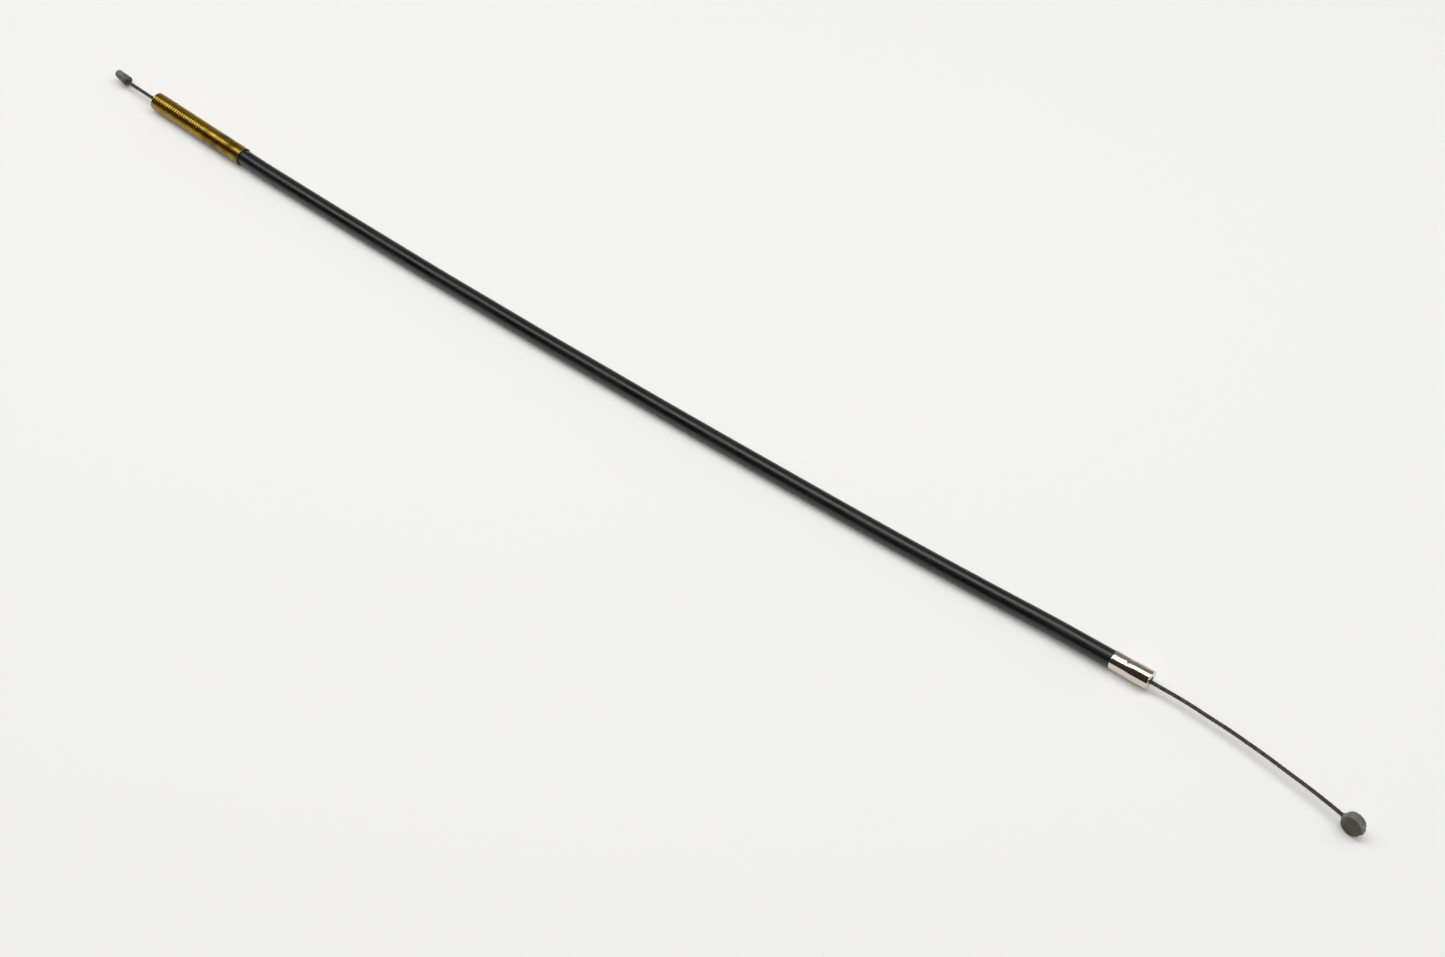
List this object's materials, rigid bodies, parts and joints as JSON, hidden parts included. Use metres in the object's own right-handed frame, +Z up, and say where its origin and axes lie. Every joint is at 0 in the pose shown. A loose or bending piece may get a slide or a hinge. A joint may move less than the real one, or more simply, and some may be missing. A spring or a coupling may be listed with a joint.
{
  "type": "sheathed control cable",
  "caption": "Short pull cable: stranded wire sliding in a black covered conduit, with a threaded brass adjuster sleeve, a plated ferrule, a small cylindrical nipple and a barrel nipple.",
  "frame": {"origin": "on the adjuster sleeve's axis, where its thread meets its plain part", "axes": "+X along the sleeve's axis towards the barrel nipple, +Z up from the surface that the cable lies on, which is 2.9 mm below the origin"},
  "size_m": [0.4593, 0.0229, 0.0063],
  "materials": {
    "jacket_plastic": "satin black extruded plastic",
    "coil_steel": "bright flat steel strip, wound",
    "liner_plastic": "natural white plastic tube",
    "nickel_plate": "bright nickel plate over drawn steel",
    "sleeve_brass": "turned brass, lightly tarnished",
    "nipple_zinc": "dull grey die-cast zinc alloy",
    "wire_steel": "dull grey stranded steel wire"
  },
  "bodies": {
    "conduit": {"conduit_jacket": "jacket_plastic", "conduit_coil": "coil_steel", "conduit_liner": "liner_plastic", "ferrule": "nickel_plate", "inner_wire_middle": "wire_steel"},
    "adjuster": {"adjuster_sleeve": "sleeve_brass"},
    "small_end": {"small_nipple": "nipple_zinc", "inner_wire_small_end": "wire_steel"},
    "barrel_end": {"barrel_nipple": "nipple_zinc", "inner_wire_barrel_end": "wire_steel"}
  },
  "joints": [
    {"name": "adjuster_turn", "type": "hinge", "parent": "conduit", "child": "adjuster", "pos_m": [0, 0, 0], "axis": [1, 0, 0], "continuous": true},
    {"name": "barrel_end_slide", "type": "slide", "parent": "conduit", "child": "barrel_end", "axis": [0.999, 0.0447, 0], "range_m": [-0.012, 0.01323]},
    {"name": "small_end_slide", "type": "slide", "parent": "conduit", "child": "small_end", "axis": [1, 0, 0], "range_m": [-0.012, 0.01323]}
  ],
  "couplings": [
    {"joint": "small_end_slide", "follows": "barrel_end_slide", "ratio": 1}
  ]
}
